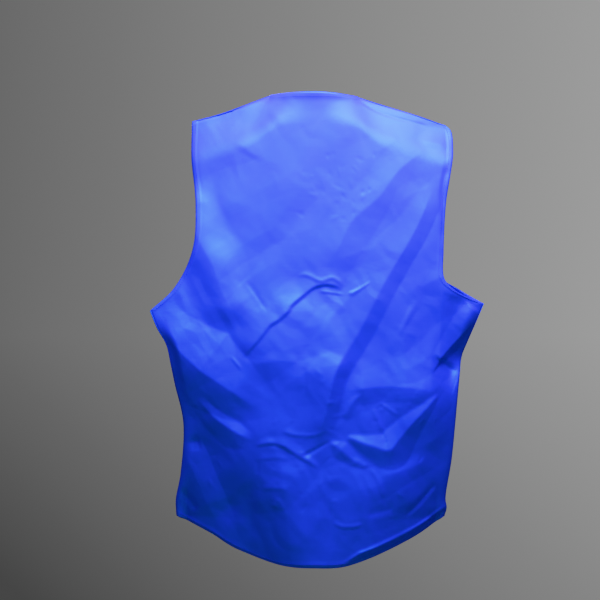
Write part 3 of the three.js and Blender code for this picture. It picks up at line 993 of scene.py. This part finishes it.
def mix_colour(tree, factor, a, b):
    node = tree.nodes.new("ShaderNodeMix")
    node.data_type = "RGBA"
    feed(tree, node.inputs["Factor"], factor)
    feed(tree, node.inputs[MIX_A], a)
    feed(tree, node.inputs[MIX_B], b)
    return node.outputs[MIX_RESULT]


def split_xyz(tree, vector):
    node = tree.nodes.new("ShaderNodeSeparateXYZ")
    feed(tree, node.inputs[0], vector)
    return node.outputs


def vector_node(tree, operation, vector, by=None):
    node = tree.nodes.new("ShaderNodeVectorMath")
    node.operation = operation
    feed(tree, node.inputs[0], vector)
    if by is not None:
        node.inputs[1].default_value = by
    return node.outputs[0]


def noise(tree, vector, scale, detail):
    node = tree.nodes.new("ShaderNodeTexNoise")
    feed_all(tree, node, {"Vector": vector, "Scale": scale, "Detail": detail})
    return node.outputs["Fac"]


# Shader group that turns a place on the cloth, and numbers if it has any, into values
def new_group(name, numbers, values):
    tree = bpy.data.node_groups.new(name, "ShaderNodeTree")
    tree.interface.new_socket("Vector", in_out="INPUT", socket_type="NodeSocketVector")
    for number in numbers:
        tree.interface.new_socket(number, in_out="INPUT", socket_type="NodeSocketFloat")
    for value in values:
        tree.interface.new_socket(value, in_out="OUTPUT", socket_type="NodeSocketFloat")
    return tree, tree.nodes.new("NodeGroupInput").outputs, tree.nodes.new("NodeGroupOutput")


# Satin weave: fine upright threads with long floats, as a height
def make_satin_weave():
    tree, given, result = new_group("satin weave", ["Thread"], ["Height"])
    place = split_xyz(tree, given["Vector"])
    turn = math_node(tree, "DIVIDE", 2 * math.pi, given["Thread"])
    warp = math_node(tree, "SINE", times(tree, place[X], turn))
    weft = math_node(tree, "SINE", times(tree, place[Y], times(tree, turn, WEFT_RATE)))
    height = plus(tree, times(tree, warp, WARP_HEIGHT), times(tree, weft, WEFT_HEIGHT))
    feed_all(tree, result, {"Height": height})
    return tree


# Uneven dye and slubs: a broad mottling and fine level streaks, each about 0.5
def make_cloth_tone():
    tree, given, result = new_group("cloth tone", [], ["Mottle", "Slub"])
    stretched = vector_node(tree, "MULTIPLY", given["Vector"], SLUB_STRETCH)
    feed_all(tree, result, {
        "Mottle": noise(tree, given["Vector"], *MOTTLE_NOISE),
        "Slub": noise(tree, stretched, *SLUB_NOISE),
    })
    return tree


# Patches: one value for each patch of the pieced front
def make_patch_tone():
    tree, given, result = new_group("patch tone", [], ["Tone"])
    count = vector_node(tree, "DIVIDE", given["Vector"], (PATCH_WIDE * MM, PATCH_TALL * MM, 1.0))
    pick = tree.nodes.new("ShaderNodeTexWhiteNoise")
    pick.noise_dimensions = "2D"
    feed_all(tree, pick, {"Vector": vector_node(tree, "FLOOR", count)})
    feed_all(tree, result, {"Tone": pick.outputs["Value"]})
    return tree


SATIN_WEAVE = make_satin_weave()
CLOTH_TONE = make_cloth_tone()
PATCH_TONE = make_patch_tone()


def place_group(tree, group, values):
    node = tree.nodes.new("ShaderNodeGroup")
    node.node_tree = group
    feed_all(tree, node, values)
    return node.outputs


def uv_of(tree, name):
    node = tree.nodes.new("ShaderNodeUVMap")
    node.uv_map = name
    return node.outputs[0]


def new_material(name):
    material = bpy.data.materials.new(name)
    material.use_nodes = True
    tree = material.node_tree
    return material, tree, tree.nodes["Principled BSDF"]


# Blue satin of the cloth panels; pieced panels change a little from patch to patch
def satin(name, pieced):
    material, tree, shader = new_material(name)
    cloth = uv_of(tree, "cloth")
    tone = place_group(tree, CLOTH_TONE, {"Vector": cloth})
    weave = place_group(tree, SATIN_WEAVE, {"Vector": cloth, "Thread": THREAD_WIDE})
    mottle = times(tree, tone["Mottle"], MOTTLE_SHARE)
    depth = plus(tree, mottle, times(tree, tone["Slub"], SLUB_SHARE))
    rough = scaled(tree, tone["Slub"], *SATIN_ROUGH)
    if pieced:
        patch = place_group(tree, PATCH_TONE, {"Vector": uv_of(tree, "flat")})
        depth = plus(tree, depth, scaled(tree, patch["Tone"], *PATCH_SHIFT))
        rough = plus(tree, rough, times(tree, patch["Tone"], PATCH_ROUGH))
    slub = times(tree, tone["Slub"], SLUB_HEIGHT)
    bump = tree.nodes.new("ShaderNodeBump")
    feed_all(tree, bump, {"Height": plus(tree, weave["Height"], slub), **WEAVE_BUMP})
    feed_all(tree, shader, {
        "Base Color": mix_colour(tree, depth, SATIN_DEEP, SATIN_BRIGHT),
        "Roughness": rough,
        "Normal": bump.outputs["Normal"],
        **SATIN_SURFACE,
    })
    return material


# Polyester sewing thread
def thread_material():
    material, tree, shader = new_material("blue sewing thread")
    place = tree.nodes.new("ShaderNodeTexCoord").outputs["Object"]
    twist = noise(tree, place, *TWIST_NOISE)
    feed_all(tree, shader, {
        "Base Color": mix_colour(tree, twist, SATIN_DEEP, SATIN_BRIGHT),
        "Roughness": scaled(tree, twist, *THREAD_ROUGH),
    })
    return material


# Polished button with a cloudy depth
def button_material():
    material, tree, shader = new_material("dark blue button")
    place = tree.nodes.new("ShaderNodeTexCoord").outputs["Object"]
    cloud = noise(tree, place, *CLOUD_NOISE)
    haze = noise(tree, place, *HAZE_NOISE)
    feed_all(tree, shader, {
        "Base Color": mix_colour(tree, cloud, BUTTON_DARK, BUTTON_LIGHT),
        "Roughness": scaled(tree, haze, *BUTTON_ROUGH),
        "Coat Weight": BUTTON_COAT,
    })
    return material


def set_material(obj, material):
    obj.data.materials.clear()
    obj.data.materials.append(material)


def dress(obj, material):
    set_material(obj, material)
    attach(obj, BODY)


def stage_floor():
    corners = [(-1, -1), (1, -1), (1, 1), (-1, 1)]
    points = [(x * FLOOR_HALF, y * FLOOR_HALF, FLOOR_LEVEL) for x, y in corners]
    obj = mesh_object("floor", points, [(0, 1, 2, 3)])
    material, tree, shader = new_material("pale floor")
    feed_all(tree, shader, FLOOR_SURFACE)
    set_material(obj, material)
    obj.visible_glossy = False


def area_light(name, place, target, size, power):
    light = bpy.data.lights.new(name, "AREA")
    light.shape = "RECTANGLE"
    light.size, light.size_y = size
    light.energy = power
    obj = bpy.data.objects.new(name, light)
    obj.location = place
    obj.rotation_euler = (Vector(target) - Vector(place)).to_track_quat("-Z", "Y").to_euler()
    obj.visible_camera = False
    scene.collection.objects.link(obj)


# Grey studio surroundings, lighter to the right of the camera's view and darker below
def studio_world():
    world = bpy.data.worlds.new("studio")
    scene.world = world
    world.use_nodes = True
    world.cycles_visibility.glossy = False
    tree = world.node_tree
    split = split_xyz(tree, tree.nodes.new("ShaderNodeTexCoord").outputs["Generated"])
    sideways = times(tree, split[X], GREY_SIDEWAYS)
    sunk = math_node(tree, "MINIMUM", plus(tree, split[Z], HORIZON), 0.0)
    below = times(tree, sunk, GREY_BELOW)
    level = plus(tree, plus(tree, sideways, below), GREY_MIDDLE)
    level = math_node(tree, "MINIMUM", math_node(tree, "MAXIMUM", level, GREY_RANGE[0]), GREY_RANGE[1])
    behind = tree.nodes.new("ShaderNodeMapRange")
    behind.interpolation_type = "SMOOTHSTEP"
    feed_all(tree, behind, {"Value": split[Y], **DARK_BEHIND})
    shade = mix_colour(tree, behind.outputs[0], level, DARK_GREY)
    feed_all(tree, tree.nodes["Background"], {"Color": shade})


# Cloth panels
plain_satin = satin("blue satin", False)
pieced_satin = satin("pieced blue satin", True)
thread = thread_material()

back = back_panel()
back_cloth = cloth_object("back_cloth", back, OUT_BACK)
dress(back_cloth, plain_satin)
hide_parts("back_panel")

fronts = {side: front_panel(side) for side in SHOULDER}
front_cloth = {}
for side, panel in fronts.items():
    front_cloth[side] = cloth_object(f"{side}_front_cloth", panel, OUT_FRONT)
    dress(front_cloth[side], pieced_satin)
    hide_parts(f"{side}_front_panel")

# Stitching along the turned edges
columns = back.points.shape[1]
back_stitches = stitches("back_stitches", [
    inset_line(back, "first", CLEAR_AT_TOP, ARMHOLE_CELLS),
    inset_line(back, "last", CLEAR_AT_TOP, ARMHOLE_CELLS),
    inset_line(back, "top", SHOULDER_CELLS, columns - SHOULDER_CELLS),
    inset_line(back, "bottom", CLEAR_AT_HEM, columns - CLEAR_AT_HEM),
])
dress(back_stitches, thread)
front_stitches = {}
for side, panel in fronts.items():
    rows, columns = panel.points.shape[:2]
    front_stitches[side] = stitches(f"{side}_front_stitches", [
        inset_line(panel, "first", CLEAR_AT_TOP, rows - CLEAR_AT_HEM),
        inset_line(panel, "last", CLEAR_AT_TOP, ARMHOLE_CELLS),
        inset_line(panel, "bottom", CLEAR_AT_HEM, columns - CLEAR_AT_HEM),
    ])
    dress(front_stitches[side], thread)

# Buttons
button_finish = button_material()
for k, height in enumerate(BUTTON_HEIGHTS):
    turned = button(f"button_{k + 1}_turned", height)
    dress(turned, button_finish)
    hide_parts(f"button_{k + 1}")

# Area of each panel when laid flat, worked out and not used further
flat_area(back)
for side, panel in fronts.items():
    flat_area(panel)

# Floor, lights and surroundings
stage_floor()
for light in LIGHTS:
    area_light(*light)
studio_world()
scene.view_settings.view_transform = "Khronos PBR Neutral"

# Camera
camera_data = bpy.data.cameras.new("camera")
camera_data.sensor_width = SENSOR_WIDE
camera_data.lens = camera_data.sensor_width * CAMERA_AWAY / FRAME_WIDE
camera = bpy.data.objects.new("camera", camera_data)
camera.location = (CAMERA_X, CAMERA_AWAY, CAMERA_Z)
camera.rotation_euler = (math.pi / 2, 0, math.pi)
scene.collection.objects.link(camera)
scene.camera = camera
